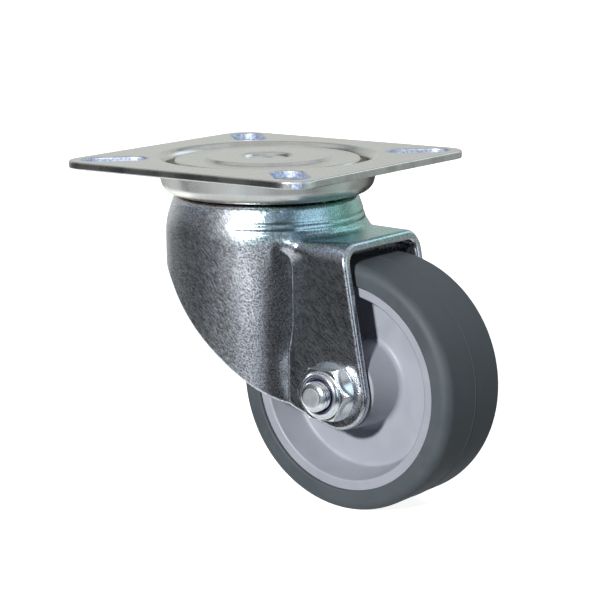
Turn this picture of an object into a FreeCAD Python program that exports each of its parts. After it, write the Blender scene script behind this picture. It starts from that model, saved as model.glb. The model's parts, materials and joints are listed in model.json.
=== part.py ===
import FreeCAD, Part
import Sketcher
import math
import os

# A swivel plate caster, 50 mm wheel. Millimetres, +Z up.
# The origin is on the swivel axis, in the plate's top face. The wheel trails towards +X,
# its axle runs along Y, and the lock nut is on the -Y leg.

DIMENSIONS = {
    # top plate, one pressed sheet with a round dish that hangs below it
    "plate_width": 60.0,
    "plate_corner": 5.5,
    "plate_sheet": 1.6,
    "slot_circle": 31.0,
    "slot_length": 13.2,
    "slot_radius": 3.3,
    "dish_bend": 0.4,
    "dish_lap": 0.6,
    "dish_hole": 7.0,
    "small_round": 0.4,
    # swivel head: two rings of balls, a cap above, the fork below, a riveted kingpin through all
    "upper_circle": 18.5,
    "upper_depth": 4.5,
    "upper_ball": 2.38,
    "upper_race": 2.45,
    "lower_circle": 13.0,
    "lower_ball": 1.985,
    "lower_race": 2.05,
    "head_gap": 0.55,
    "cap_sheet": 1.2,
    "cap_radius": 18.9,
    "cap_depth": 0.85,
    "cap_rise": 0.75,
    "cap_step": 12.4,
    "cap_step_shift": 0.5,
    "dimple_shift": 0.8,
    "dimple_radius": 5.1,
    "dimple_seat": 4.0,
    "dimple_depth": 2.3,
    "pin_radius": 3.0,
    "pin_head": 4.5,
    "pin_head_edge": 0.5,
    "pin_head_round": 0.6,
    "pin_sink": 0.65,
    "pin_tail": 5.0,
    "pin_tail_height": 1.8,
    "pin_tail_edge": 0.9,
    "pin_tail_round": 2.2,
    "spacer_radius": 5.5,
    "fit_gap": 0.05,
    # fork, one pressed sheet: a round shell behind, a flat bridge over the wheel, two legs
    "fork_sheet": 2.1,
    "shell_radius": 20.5,
    "shell_setback": 0.5,
    "neck_radius": 19.5,
    "neck_round": 1.4,
    "neck_depth": 13.0,
    "bridge_depth": 14.25,
    "bridge_start": 9.0,
    "bridge_end": 38.0,
    "leg_half": 13.5,
    "shoulder_tight": 1.2,
    "shoulder_wide": 5.8,
    "shoulder_least": 0.3,
    "crease_round": 2.5,
    "fork_bottom": 56.0,
    "leg_end_radius": 6.9,
    "leg_end_reach": 26.3,
    "leg_end_drop": 44.0,
    "rear_clear": 22.5,
    "rear_drop": 20.0,
    "rear_round_start": 18.8,
    "rear_round": 5.6,
    "sweep_start": 13.9,
    "sweep_start_drop": 22.6,
    "sweep_end": 15.5,
    "sweep_end_drop": 47.95,
    "sweep_radius": 150.0,
    "front_top": 27.0,
    "head_clear": 8.0,
    # wheel on its axle
    "trail": 25.0,
    "axle_drop": 43.3,
    "wheel_radius": 25.0,
    "tyre_half": 9.7,
    "tyre_shoulder": 3.5,
    "rim_radius": 20.5,
    "rim_half": 9.0,
    "rim_lip": 18.7,
    "rib_radius": 21.8,
    "rib_half": 2.5,
    "rib_slope": 0.6,
    "web_half": 2.0,
    "web_outer": 17.4,
    "web_round": 0.8,
    "boss_base": 8.9,
    "boss_end": 8.2,
    "boss_half": 10.8,
    "bore_radius": 4.07,
    "web_edge_slope": 0.1,
    "sleeve_radius": 4.0,
    "bolt_radius": 2.95,
    "bolt_tip": 20.0,
    "bolt_tip_radius": 2.05,
    "bolt_tip_length": 1.4,
    "bolt_tip_round": 2.4,
    "hex_flats": 10.0,
    "hex_corner": 5.53,
    "bolt_head": 4.0,
    "nut_hex": 3.4,
    "nut_height": 4.3,
    "nut_collar": 4.75,
    "nut_mouth": 3.6,
    "insert_radius": 4.1,
    "insert_length": 1.4,
    "nut_lip": 0.5,
}
UPPER_BALLS = 22
LOWER_BALLS = 18
SLOTS = 4
TOUCH = 0.01  # closer than this counts as the same place

doc = FreeCAD.newDocument("swivel_caster")
sheet = doc.addObject("Spreadsheet::Sheet", "dims")
for row, (alias, number) in enumerate(DIMENSIONS.items(), start=1):
    sheet.set(f"A{row}", alias)
    sheet.set(f"B{row}", str(number))
    sheet.setAlias(f"B{row}", alias)
doc.recompute()


class Size:
    """A length: its value, and the expression that binds it to the spreadsheet."""

    def __init__(self, value, text):
        self.value = value
        self.text = text

    def __add__(self, other):
        other = as_size(other)
        return Size(self.value + other.value, f"({self.text} + {other.text})")

    def __sub__(self, other):
        other = as_size(other)
        return Size(self.value - other.value, f"({self.text} - {other.text})")

    def __mul__(self, factor):
        factor = as_size(factor)
        return Size(self.value * factor.value, f"({self.text} * {factor.text})")

    def __truediv__(self, factor):
        factor = as_size(factor)
        return Size(self.value / factor.value, f"({self.text} / {factor.text})")

    def __neg__(self):
        return Size(-self.value, f"(0 - {self.text})")


def as_size(number):
    return number if isinstance(number, Size) else Size(float(number), f"{number:.6g}")


def dim(alias):
    return Size(DIMENSIONS[alias], f"dims.{alias}")


def root(size):
    return Size(math.sqrt(size.value), f"sqrt({size.text})")


def circle_reach(radius, height):
    """How far out a circle is where it stands height away from its centre."""
    return root(radius * radius - height * height)


# ---- sketches and solids ----------------------------------------------------------------


def bind(feature, path, size):
    feature.setExpression(path, as_size(size).text)


def new_body(label):
    body = doc.addObject("PartDesign::Body", label)
    body.Label = label
    return body


def pin_point(sketch, edge, end, spot):
    """Hold one end of an edge at its place, each coordinate bound to the spreadsheet."""
    for kind, axis, size in (("DistanceX", -2, spot[0]), ("DistanceY", -1, spot[1])):
        if abs(size.value) < 1e-9:
            sketch.addConstraint(Sketcher.Constraint("PointOnObject", edge, end, axis))
            continue
        place = sketch.addConstraint(Sketcher.Constraint(kind, -1, 1, edge, end, size.value))
        bind(sketch, f"Constraints[{place}]", size)


def arc_between(start, finish, radius, turn):
    """The shorter arc from start to finish; turn is 1 anticlockwise, -1 clockwise."""
    chord = finish - start
    middle = (start + finish) * 0.5
    left = FreeCAD.Vector(-chord.y, chord.x, 0).normalize()
    back = math.sqrt(max(radius * radius - chord.Length ** 2 / 4, 0))
    centre = middle + left * back * turn
    first, last = (start, finish) if turn > 0 else (finish, start)
    angles = [math.atan2(p.y - centre.y, p.x - centre.x) for p in (first, last)]
    circle = Part.Circle(centre, FreeCAD.Vector(0, 0, 1), radius)
    return Part.ArcOfCircle(circle, angles[0], angles[1])


def draw_loop(sketch, stops):
    """A closed loop through the stops. A stop is (x, y), reached by a straight run,
    or (x, y, radius, turn), reached by an arc."""
    spots = [(as_size(stop[0]), as_size(stop[1])) for stop in stops]
    points = [FreeCAD.Vector(x.value, y.value, 0) for x, y in spots]
    ends = []
    for number, stop in enumerate(stops):
        start, finish = points[number - 1], points[number]
        if len(stop) == 2:
            edge = sketch.addGeometry(Part.LineSegment(start, finish), False)
            ends.append((edge, 1, 2))
        else:
            radius, turn = as_size(stop[2]), stop[3]
            arc = arc_between(start, finish, radius.value, turn)
            edge = sketch.addGeometry(arc, False)
            ends.append((edge, 1, 2) if turn > 0 else (edge, 2, 1))
    for number, (edge, _, finish_end) in enumerate(ends):
        following = ends[(number + 1) % len(ends)]
        joint = Sketcher.Constraint("Coincident", edge, finish_end, following[0], following[1])
        sketch.addConstraint(joint)
        pin_point(sketch, edge, finish_end, spots[number])
    for (edge, _, _), stop in zip(ends, stops):
        if len(stop) == 4:
            size = as_size(stop[2])
            place = sketch.addConstraint(Sketcher.Constraint("Radius", edge, size.value))
            bind(sketch, f"Constraints[{place}]", size)


def new_sketch(body, name, role, stops):
    sketch = body.newObject("Sketcher::SketchObject", name)
    plane = next(f for f in body.Origin.OriginFeatures if f.Role == role)
    sketch.AttachmentSupport = [(plane, "")]
    sketch.MapMode = "FlatFace"
    draw_loop(sketch, stops)
    return sketch


def turned(body, name, role, stops, kind="PartDesign::Revolution"):
    """Turn an outline about its sketch's upright axis: Z on XZ_Plane, Y on XY_Plane."""
    sketch = new_sketch(body, f"{name}_outline", role, stops)
    solid = body.newObject(kind, name)
    solid.Profile = sketch
    solid.ReferenceAxis = (sketch, ["V_Axis"])
    solid.Angle = 360.0
    return solid


def pressed(body, name, role, stops, length, kind="PartDesign::Pad", middle=False, back=False):
    sketch = new_sketch(body, f"{name}_outline", role, stops)
    solid = body.newObject(kind, name)
    solid.Profile = sketch
    bind(solid, "Length", length)
    solid.Midplane = middle
    solid.Reversed = back
    return solid


def move_to(feature, x=None, y=None, z=None):
    for letter, size in (("x", x), ("y", y), ("z", z)):
        if size is not None:
            bind(feature, f"Placement.Base.{letter}", size)


def cylinder(name, radius, length, along_y=False):
    solid = doc.addObject("Part::Cylinder", name)
    bind(solid, "Radius", radius)
    bind(solid, "Height", length)
    if along_y:
        solid.Placement.Rotation = FreeCAD.Rotation(FreeCAD.Vector(1, 0, 0), -90)
    return solid


def joined(name, kind, base, tool):
    """A Part boolean of two shapes: Part::Cut, Part::Fuse or Part::Common."""
    result = doc.addObject(kind, name)
    result.Base = base
    result.Tool = tool
    result.Label = name
    return result


pieces = []

# ---- top plate --------------------------------------------------------------------------


def rounded_square(half, corner):
    inner = half - corner
    return [
        (half, -inner, corner, 1),
        (half, inner),
        (inner, half, corner, 1),
        (-inner, half),
        (-half, inner, corner, 1),
        (-half, -inner),
        (-inner, -half, corner, 1),
        (inner, -half),
    ]


def slot_outline(reach, length, radius):
    """A slot along X with round ends, its middle at reach."""
    near, far = reach - length / 2, reach + length / 2
    return [
        (near + radius, radius),
        (near, 0, radius, 1),
        (near + radius, -radius, radius, 1),
        (far - radius, -radius),
        (far, 0, radius, 1),
        (far - radius, radius, radius, 1),
    ]


def make_plate():
    body = new_body("top_plate")
    sheet_size = dim("plate_sheet")
    half, corner = dim("plate_width") / 2, dim("plate_corner")
    pressed(body, "plate_blank", "XY_Plane", rounded_square(half, corner), sheet_size, back=True)
    wall_in = dim("upper_circle") + dim("upper_race")
    wall_out = wall_in + sheet_size
    flange = wall_out + dim("dish_bend")
    hole = flange + dim("dish_lap") / 2
    quarter = [(0, hole, hole, 1), (-hole, 0, hole, 1), (0, -hole, hole, 1), (hole, 0, hole, 1)]
    pressed(body, "dish_opening", "XY_Plane", quarter, sheet_size * 2,
            kind="PartDesign::Pocket", middle=True)
    slot = pressed(body, "slot", "XY_Plane",
                   slot_outline(dim("slot_circle"), dim("slot_length"), dim("slot_radius")),
                   sheet_size * 2, kind="PartDesign::Pocket", middle=True)
    turn = FreeCAD.Rotation(FreeCAD.Vector(0, 0, 1), 45)
    slot.Profile[0].AttachmentOffset = FreeCAD.Placement(FreeCAD.Vector(), turn)
    doc.recompute()
    around = body.newObject("PartDesign::PolarPattern", "slots")
    around.Originals = [slot]
    around.Axis = (next(f for f in body.Origin.OriginFeatures if f.Role == "Z_Axis"), [""])
    around.Angle = 360.0
    around.Occurrences = SLOTS
    body.Tip = around
    turned(body, "dish", "XZ_Plane", dish_outline(flange))
    pieces.append(body)


def dish_outline(flange):
    """The dish in section: the bend under the flat, the upper ball corner, the raised ring
    over the lower balls, and the hole that the kingpin's spacer stands in."""
    sheet_size, bend = dim("plate_sheet"), dim("dish_bend")
    circle, depth = dim("upper_circle"), dim("upper_depth")
    race = dim("upper_race")
    wall_in = circle + race
    floor_top = -(depth + race)
    floor_under = floor_top - sheet_size
    ball_down = dim("head_gap") / 2
    ring, groove = dim("lower_circle"), dim("lower_race")
    crown = groove + sheet_size
    crown_reach = circle_reach(crown, sheet_size + ball_down)
    groove_reach = circle_reach(groove, ball_down)
    outer_bend = bend + sheet_size
    return [
        (flange, 0),
        (wall_in, -outer_bend, outer_bend, 1),
        (wall_in, -depth),
        (circle, floor_top, race, -1),
        (ring + crown_reach, floor_top),
        (ring, ball_ring_height() + crown, crown, 1),
        (ring - crown_reach, floor_top, crown, 1),
        (dim("dish_hole"), floor_top),
        (dim("dish_hole"), floor_under),
        (ring - groove_reach, floor_under),
        (ring, ball_ring_height() + groove, groove, -1),
        (ring + groove_reach, floor_under, groove, -1),
        (circle, floor_under),
        (wall_in + sheet_size, -depth, race + sheet_size, 1),
        (wall_in + sheet_size, -outer_bend),
        (flange, -sheet_size, bend, -1),
        (flange + dim("dish_lap"), -sheet_size),
        (flange + dim("dish_lap"), 0),
    ]


def dish_floor_under():
    return -(dim("upper_depth") + dim("upper_race") + dim("plate_sheet"))


def ball_ring_height():
    """The lower balls' centres are midway between the dish and the fork's head."""
    return dish_floor_under() - dim("head_gap") / 2


def head_top():
    return dish_floor_under() - dim("head_gap")


# ---- swivel head ------------------------------------------------------------------------


def make_cap():
    body = new_body("race_cap")
    sheet_size = dim("cap_sheet")
    low = -dim("cap_depth")
    high = low + dim("cap_rise")
    seat = -dim("dimple_depth")
    hole = dim("pin_radius") + dim("fit_gap")
    rim, soft = dim("cap_radius"), dim("small_round")
    step, dimple, floor = dim("cap_step"), dim("dimple_radius"), dim("dimple_seat")
    step_under = step - dim("cap_step_shift")
    shift = dim("dimple_shift")
    stops = [
        (hole, seat),
        (floor, seat),
        (dimple, high),
        (step - soft, high),
        (step + soft, low),
        (rim - soft, low),
        (rim, low - soft, soft, -1),
        (rim, low - sheet_size),
        (step_under + soft, low - sheet_size),
        (step_under - soft, high - sheet_size),
        (dimple + shift, high - sheet_size),
        (floor + shift, seat - sheet_size),
        (hole, seat - sheet_size),
    ]
    turned(body, "cap_sheet_metal", "XZ_Plane", stops)
    pieces.append(body)


def make_kingpin():
    body = new_body("kingpin")
    pin, head = dim("pin_radius"), dim("pin_head")
    top = -dim("pin_sink")
    seat = -dim("dimple_depth")
    under = head_top() - dim("fork_sheet")
    tail, soft = dim("pin_tail"), dim("small_round")
    end = under - dim("pin_tail_height")
    stops = [
        (0, top),
        (head - dim("pin_head_edge"), top),
        (head, top - soft, dim("pin_head_round"), -1),
        (dim("dimple_seat") - dim("fit_gap") * 3, seat),
        (pin, seat),
        (pin, under),
        (tail, under),
        (tail - dim("pin_tail_edge"), end + soft, dim("pin_tail_round"), -1),
        (0, end),
    ]
    turned(body, "pin_turned", "XZ_Plane", stops)
    pieces.append(body)


def make_spacer():
    """A steel ring between the cap's dimple and the fork's head."""
    body = new_body("kingpin_spacer")
    inner, outer = dim("pin_radius") + dim("fit_gap"), dim("spacer_radius")
    top = -dim("dimple_depth") - dim("cap_sheet")
    flat = dim("dimple_seat") + dim("dimple_shift")
    turned(body, "spacer_turned", "XZ_Plane", [
        (inner, top), (flat, top), (outer, top - (outer - flat)),
        (outer, head_top()), (inner, head_top()),
    ])
    pieces.append(body)


def make_balls(word, count, radius, circle, height):
    for number in range(count):
        name = f"{word}_ball_{number + 1:02d}"
        ball = doc.addObject("Part::Sphere", name)
        ball.Label = name
        bind(ball, "Radius", radius)
        turn = 360.0 / count * number
        move_to(ball, Size(0, f"{circle.text} * cos({turn:.6g} deg)"),
                Size(0, f"{circle.text} * sin({turn:.6g} deg)"), height)
        pieces.append(ball)


# ---- fork -------------------------------------------------------------------------------


def fork_form(word, inset, crease):
    """The fork's solid form, set in by inset: the round shell and the bridge block, with
    a concave round where they meet."""
    shell = new_body(f"{word}_shell")
    top, low = head_top() - inset, -dim("fork_bottom")
    neck, barrel = dim("neck_radius") - inset, dim("shell_radius") - inset
    edge = dim("neck_round")
    stops = [
        (0, top),
        (neck - edge, top),
        (neck, top - edge, edge, -1),
        (barrel, -dim("neck_depth") - inset),
        (barrel, low),
        (0, low),
    ]
    turned(shell, f"{word}_barrel", "XZ_Plane", stops)
    move_to(shell, -dim("shell_setback"))
    block = new_body(f"{word}_block")
    half, roof = dim("leg_half") - inset, -dim("bridge_depth") - inset
    start = dim("bridge_start")
    stops = [(-half, low), (half, low), (half, roof), (-half, roof)]
    pressed(block, f"{word}_bridge", "YZ_Plane", stops, dim("bridge_end") - start)
    move_to(block, start)
    doc.recompute()
    bent = doc.addObject("Part::Fillet", f"{word}_shoulders")
    bent.Base = block
    bent.Edges = shoulder_edges(block.Shape, inset.value)
    whole = joined(f"{word}_form", "Part::Fuse", shell, bent)
    doc.recompute()
    smooth = doc.addObject("Part::Fillet", f"{word}_creased")
    smooth.Base = whole
    smooth.Edges = [(number, crease, crease) for number in crease_edges(whole.Shape)]
    return smooth


def shoulder_edges(shape, inset):
    """The bridge's two long top edges, each with the radius at its two ends: the bend over
    the wheel opens out from almost a fold at the shell to a wide round at the front."""
    tight = max(DIMENSIONS["shoulder_tight"] - inset, DIMENSIONS["shoulder_least"])
    wide = DIMENSIONS["shoulder_wide"] - inset
    found = []
    for number, edge in enumerate(shape.Edges, start=1):
        first, last = edge.valueAt(edge.FirstParameter), edge.valueAt(edge.LastParameter)
        along = abs(first.x - last.x) > 1
        on_top = min(first.z, last.z) > -DIMENSIONS["bridge_depth"] - inset - TOUCH
        if along and on_top:
            radii = (tight, wide) if first.x < last.x else (wide, tight)
            found.append((number,) + radii)
    return found


def crease_edges(shape):
    """Edges where the shell meets the bridge block: they stand on the shell's cylinder,
    away from its own top edge and bottom."""
    setback, low = DIMENSIONS["shell_setback"], -DIMENSIONS["fork_bottom"]
    neck, barrel = DIMENSIONS["neck_radius"], DIMENSIONS["shell_radius"]
    found = []
    for number, edge in enumerate(shape.Edges, start=1):
        middle = edge.valueAt((edge.FirstParameter + edge.LastParameter) / 2)
        reach = math.hypot(middle.x + setback, middle.y)
        on_shell = neck - 2 * DIMENSIONS["fork_sheet"] < reach < barrel + TOUCH
        below_neck = edge.BoundBox.ZMax < -DIMENSIONS["neck_depth"] - TOUCH
        off_bottom = edge.BoundBox.ZMax > low + 1
        in_front = middle.x > DIMENSIONS["bridge_start"] + TOUCH
        if on_shell and below_neck and off_bottom and in_front:
            found.append(number)
    return found


def off_leg_end(degrees, radius):
    """A point on the leg's round end: 0 degrees is +X, 90 is up."""
    turn = math.radians(degrees)
    across, down = dim("leg_end_reach"), -dim("leg_end_drop")
    return across + radius * math.cos(turn), down + radius * math.sin(turn)


def side_outline():
    """The fork seen from its side: level behind, swept down to the legs' round ends,
    and a leaning front edge."""
    radius = dim("leg_end_radius")
    behind, rear_edge = -dim("rear_clear"), -dim("rear_drop")
    above = -dim("head_clear")
    return [
        (behind, above),
        (behind, rear_edge),
        (-dim("rear_round_start"), rear_edge),
        (-dim("sweep_start"), -dim("sweep_start_drop"), dim("rear_round"), -1),
        (dim("sweep_end"), -dim("sweep_end_drop"), dim("sweep_radius"), 1),
        off_leg_end(252, radius),
        off_leg_end(315, radius) + (radius, 1),
        off_leg_end(10.5, radius) + (radius, 1),
        (dim("front_top"), above),
    ]


def make_fork():
    sheet_size = dim("fork_sheet")
    crease = DIMENSIONS["crease_round"]
    outer = fork_form("outer", as_size(0), crease)
    inner = fork_form("inner", sheet_size, crease)
    skin = joined("fork_skin", "Part::Cut", outer, inner)
    side = new_body("side_cutter")
    width = dim("shell_radius") * 3
    pressed(side, "side_view", "XZ_Plane", side_outline(), width, middle=True)
    trimmed = joined("fork_trimmed", "Part::Common", skin, side)
    race = new_body("lower_race_ring")
    ring, groove = dim("lower_circle"), dim("lower_race")
    ball = ball_ring_height()
    under = head_top() - sheet_size
    bedded = under + sheet_size / 4
    crown = groove + sheet_size
    crown_reach = circle_reach(crown, sheet_size + dim("head_gap") / 2)
    turned(race, "race_bead", "XZ_Plane", [
        (ring - crown_reach, bedded),
        (ring - crown_reach, under),
        (ring, ball - crown, crown, 1),
        (ring + crown_reach, under, crown, 1),
        (ring + crown_reach, bedded),
    ])
    beaded = joined("fork_beaded", "Part::Fuse", trimmed, race)
    track = doc.addObject("Part::Torus", "ball_track")
    bind(track, "Radius1", ring)
    bind(track, "Radius2", groove)
    move_to(track, z=ball)
    tracked = joined("fork_tracked", "Part::Cut", beaded, track)
    pin_hole = cylinder("pin_hole", dim("pin_radius") + dim("fit_gap"), dim("neck_depth"))
    move_to(pin_hole, z=-dim("neck_depth"))
    drilled = joined("fork_drilled", "Part::Cut", tracked, pin_hole)
    axle_hole = cylinder("axle_hole", dim("bolt_radius") + dim("fit_gap") * 2, width, True)
    move_to(axle_hole, dim("trail"), -width / 2, -dim("axle_drop"))
    fork = joined("fork", "Part::Cut", drilled, axle_hole)
    pieces.append(fork)


# ---- wheel, turned about Y --------------------------------------------------------------


def on_axle(feature):
    move_to(feature, dim("trail"), None, -dim("axle_drop"))
    pieces.append(feature)


def both_sides(stops):
    """A section that is the same on both sides: the stops for -Y, then their mirror."""
    mirrored = []
    for number in range(len(stops) - 1, -1, -1):
        x, y = as_size(stops[number][0]), as_size(stops[number][1])
        following = stops[number + 1] if number + 1 < len(stops) else ()
        arc = tuple(following[2:4]) if len(following) == 4 else ()
        mirrored.append((x, -y) + arc)
    return list(stops) + mirrored


def make_hub():
    body = new_body("wheel_hub")
    rim, lip, half = dim("rim_radius"), dim("rim_lip"), dim("rim_half")
    web, web_round, soft = dim("web_half"), dim("web_round"), dim("small_round")
    slope, outer = dim("web_edge_slope"), dim("web_outer")
    base, end, boss = dim("boss_base"), dim("boss_end"), dim("boss_half")
    stops = [
        (dim("rib_radius"), -dim("rib_half")),
        (rim, -dim("rib_half") - dim("rib_slope")),
        (rim, -half),
        (lip + soft, -half),
        (lip, -half + soft, soft, 1),
        (outer + slope, -web - web_round),
        (outer - web_round, -web, web_round + slope, -1),
        (base + web_round, -web),
        (base, -web - web_round, web_round, -1),
        (end, -boss + soft),
        (end - soft, -boss, soft, 1),
        (dim("bore_radius") + soft, -boss),
        (dim("bore_radius"), -boss + soft),
    ]
    turned(body, "hub_turned", "XY_Plane", both_sides(stops))
    on_axle(body)


def make_tyre():
    body = new_body("tyre")
    rim, half, shoulder = dim("rim_radius"), dim("tyre_half"), dim("tyre_shoulder")
    outer, soft = dim("wheel_radius"), dim("small_round")
    stops = [
        (dim("rib_radius"), -dim("rib_half")),
        (rim, -dim("rib_half") - dim("rib_slope")),
        (rim, -half + soft),
        (rim + soft, -half),
        (outer - shoulder, -half),
        (outer, -half + shoulder, shoulder, 1),
    ]
    turned(body, "tyre_turned", "XY_Plane", both_sides(stops))
    on_axle(body)


def make_sleeve():
    body = new_body("axle_sleeve")
    inner, outer = dim("bolt_radius") + dim("fit_gap"), dim("sleeve_radius")
    half = dim("leg_half") - dim("fork_sheet")
    turned(body, "sleeve_turned", "XY_Plane",
           [(inner, -half), (outer, -half), (outer, half), (inner, half)])
    on_axle(body)


def hex_prism(name, start, length):
    """A hexagonal bar along +Y from start, with corners towards +X and -X."""
    prism = doc.addObject("Part::Prism", name)
    prism.Polygon = 6
    bind(prism, "Circumradius", dim("hex_flats") / math.sqrt(3))
    bind(prism, "Height", length)
    prism.Placement.Rotation = FreeCAD.Rotation(FreeCAD.Vector(1, 0, 0), -90)
    move_to(prism, y=start)
    return prism


def make_bolt():
    leg, head = dim("leg_half"), dim("bolt_head")
    corner, soft = dim("hex_corner"), dim("small_round")
    shank_radius = dim("bolt_radius")
    blank = new_body("bolt_head_blank")
    turned(blank, "head_turned", "XY_Plane", [
        (0, leg), (corner - soft, leg), (corner, leg + soft), (corner, leg + head - soft),
        (corner - soft * 2, leg + head), (0, leg + head),
    ])
    head_hex = joined("bolt_head_hex", "Part::Common", hex_prism("bolt_hexagon", leg, head), blank)
    shank = new_body("bolt_shank")
    tip = dim("bolt_tip")
    turned(shank, "shank_turned", "XY_Plane", [
        (0, leg + soft),
        (shank_radius, leg + soft),
        (shank_radius, -tip + dim("bolt_tip_length")),
        (dim("bolt_tip_radius"), -tip, dim("bolt_tip_round"), -1),
        (0, -tip),
    ])
    on_axle(joined("axle_bolt", "Part::Fuse", head_hex, shank))


def make_nut():
    """A lock nut: hexagon, sloping collar with a rolled lip, nylon ring inside the lip."""
    face = -dim("leg_half")
    end = face - dim("nut_height")
    hex_end = face - dim("nut_hex")
    corner, collar, soft = dim("hex_corner"), dim("nut_collar"), dim("small_round")
    lip, mouth = dim("nut_lip"), dim("nut_mouth")
    insert = dim("insert_radius")
    pocket_end = end + lip
    pocket_start = pocket_end + dim("insert_length")
    bore = dim("bolt_radius") + dim("fit_gap")
    blank = new_body("nut_blank")
    turned(blank, "nut_turned", "XY_Plane", [
        (bore, face), (corner, face), (corner, hex_end + soft), (collar, hex_end),
        (collar - soft / 2, end + soft), (collar - soft / 2 - lip, end, lip, -1),
        (mouth, end), (mouth, pocket_end),
        (insert, pocket_end), (insert, pocket_start), (bore, pocket_start),
    ])
    bar = hex_prism("nut_hexagon", end, dim("nut_height"))
    on_axle(joined("lock_nut", "Part::Common", bar, blank))
    ring = new_body("nut_insert")
    turned(ring, "insert_turned", "XY_Plane", [
        (insert, pocket_start), (insert, pocket_end), (bore + soft / 2, pocket_end),
        (bore, pocket_end + soft / 2), (bore, pocket_start),
    ])
    on_axle(ring)


make_plate()
make_cap()
make_kingpin()
make_spacer()
make_balls("upper", UPPER_BALLS, dim("upper_ball"), dim("upper_circle"), -dim("upper_depth"))
make_balls("lower", LOWER_BALLS, dim("lower_ball"), dim("lower_circle"), ball_ring_height())
make_fork()
make_hub()
make_tyre()
make_sleeve()
make_bolt()
make_nut()
doc.recompute()

# ---- checks and files -------------------------------------------------------------------

for item in doc.Objects:
    faults = [state for state in item.State if state in ("Invalid", "Error")]
    if faults:
        raise RuntimeError(f"{item.Label} is {faults}")
for piece in pieces:
    shape = piece.Shape
    if shape.isNull() or not shape.isValid() or shape.Volume < 1e-3:
        raise RuntimeError(f"{piece.Label} has no valid shape")
    if len(shape.Solids) != 1:
        raise RuntimeError(f"{piece.Label} has {len(shape.Solids)} solids")
os.makedirs("parts", exist_ok=True)
for piece in pieces:
    piece.Shape.exportStep(f"parts/{piece.Label}.step")
    box = piece.Shape.optimalBoundingBox()
    print(f"{piece.Label:16s} {piece.Shape.Volume:9.1f} mm3  z {box.ZMin:7.2f} to {box.ZMax:6.2f}")
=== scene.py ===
import bpy
import bmesh
import json
import math
import numpy as np
from mathutils import Matrix, Vector


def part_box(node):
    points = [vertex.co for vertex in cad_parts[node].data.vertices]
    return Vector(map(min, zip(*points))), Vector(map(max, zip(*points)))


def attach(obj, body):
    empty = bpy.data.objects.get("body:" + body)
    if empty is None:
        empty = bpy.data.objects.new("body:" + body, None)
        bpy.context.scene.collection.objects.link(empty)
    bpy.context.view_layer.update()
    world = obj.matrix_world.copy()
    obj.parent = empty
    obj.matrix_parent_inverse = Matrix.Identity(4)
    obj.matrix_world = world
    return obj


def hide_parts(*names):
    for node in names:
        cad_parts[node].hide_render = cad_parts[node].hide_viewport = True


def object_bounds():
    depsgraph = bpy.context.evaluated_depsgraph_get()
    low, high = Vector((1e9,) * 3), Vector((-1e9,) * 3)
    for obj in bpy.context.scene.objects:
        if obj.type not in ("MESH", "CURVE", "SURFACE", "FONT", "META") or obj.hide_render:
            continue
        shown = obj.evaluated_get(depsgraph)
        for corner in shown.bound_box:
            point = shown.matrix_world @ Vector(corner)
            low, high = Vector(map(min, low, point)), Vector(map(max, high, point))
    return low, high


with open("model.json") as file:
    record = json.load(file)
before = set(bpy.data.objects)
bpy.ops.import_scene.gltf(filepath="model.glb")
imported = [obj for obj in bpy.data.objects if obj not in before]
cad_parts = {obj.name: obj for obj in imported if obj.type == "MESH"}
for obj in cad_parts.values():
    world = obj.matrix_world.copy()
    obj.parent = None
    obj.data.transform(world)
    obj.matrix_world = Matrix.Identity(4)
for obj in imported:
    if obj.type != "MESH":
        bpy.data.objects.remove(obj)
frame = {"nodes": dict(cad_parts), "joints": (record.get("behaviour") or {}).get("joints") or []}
cad_low, cad_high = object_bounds()

# Shapes are worked out in millimetres in the row frame and become metres in put_piece().
# The origin is on the swivel axis in the plate's top face, +Z is up, the wheel trails to +X
# and the lock nut is on the -Y leg.
MM = 0.001
TINY = 1e-9
SAME_PLACE = 1e-5

# ---- sizes in millimetres, most of them as in the CAD part ------------------------------

JOINTS = {joint["name"]: joint for joint in frame["joints"]}
AXLE = Vector(JOINTS["wheel_spin"]["pos_m"]) / MM

PLATE_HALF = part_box("top_plate")[1].x / MM
PLATE_CORNER = 5.5
PLATE_SHEET = 1.6
SLOT_CIRCLE, SLOT_LENGTH, SLOT_RADIUS = 31.0, 13.2, 3.3
DISH_FLOOR = -6.95
DISH_WALL = 20.95
DISH_CORNER = 2.45
DISH_LIP = 2.0
# Outside, the dish narrows downwards to a flat foot, which steps down over the lower balls.
DISH_TAPER = math.radians(14)
DISH_UNDER, DISH_FOOT_ROUND = -7.4, 2.2
DISH_STEP, DISH_STEP_INNER, DISH_STEP_OUTER = 1.15, 15.5, 16.3
DISH_HOLE = 7.0
PLATE_EDGE_ROUND = 0.32
LOWER_BALL_CIRCLE, LOWER_BALL_HEIGHT, LOWER_RACE = 13.0, -8.825, 2.05
CAP_RADIUS, CAP_SHEET = 18.9, 1.2
CAP_TOP, CAP_BRIM, CAP_STEP_INNER, CAP_STEP_OUTER = -0.10, -0.60, 12.6, 13.2
PIN_TOP, PIN_SEAT, PIN_RADIUS, PIN_HOLE = -0.65, -2.3, 3.0, 3.05

FORK_SHEET = 2.1
HEAD_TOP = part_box("fork")[1].z / MM
SHELL_RADIUS, SHELL_SETBACK = 20.5, 0.5
NECK_RADIUS, NECK_ROUND, NECK_DEPTH = 19.5, 0.9, 13.0
# A rim round the head, outside the lower balls, leaves no gap under the dish.
RIM_RISE, RIM_INNER, RIM_OUTER = 1.2, 16.4, 17.3
ROOF = -14.25
BRIDGE_START, BRIDGE_END = 9.0, 38.0
LEG_HALF = 13.5
SHOULDER_TIGHT, SHOULDER_WIDE = 1.2, 5.8
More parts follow.
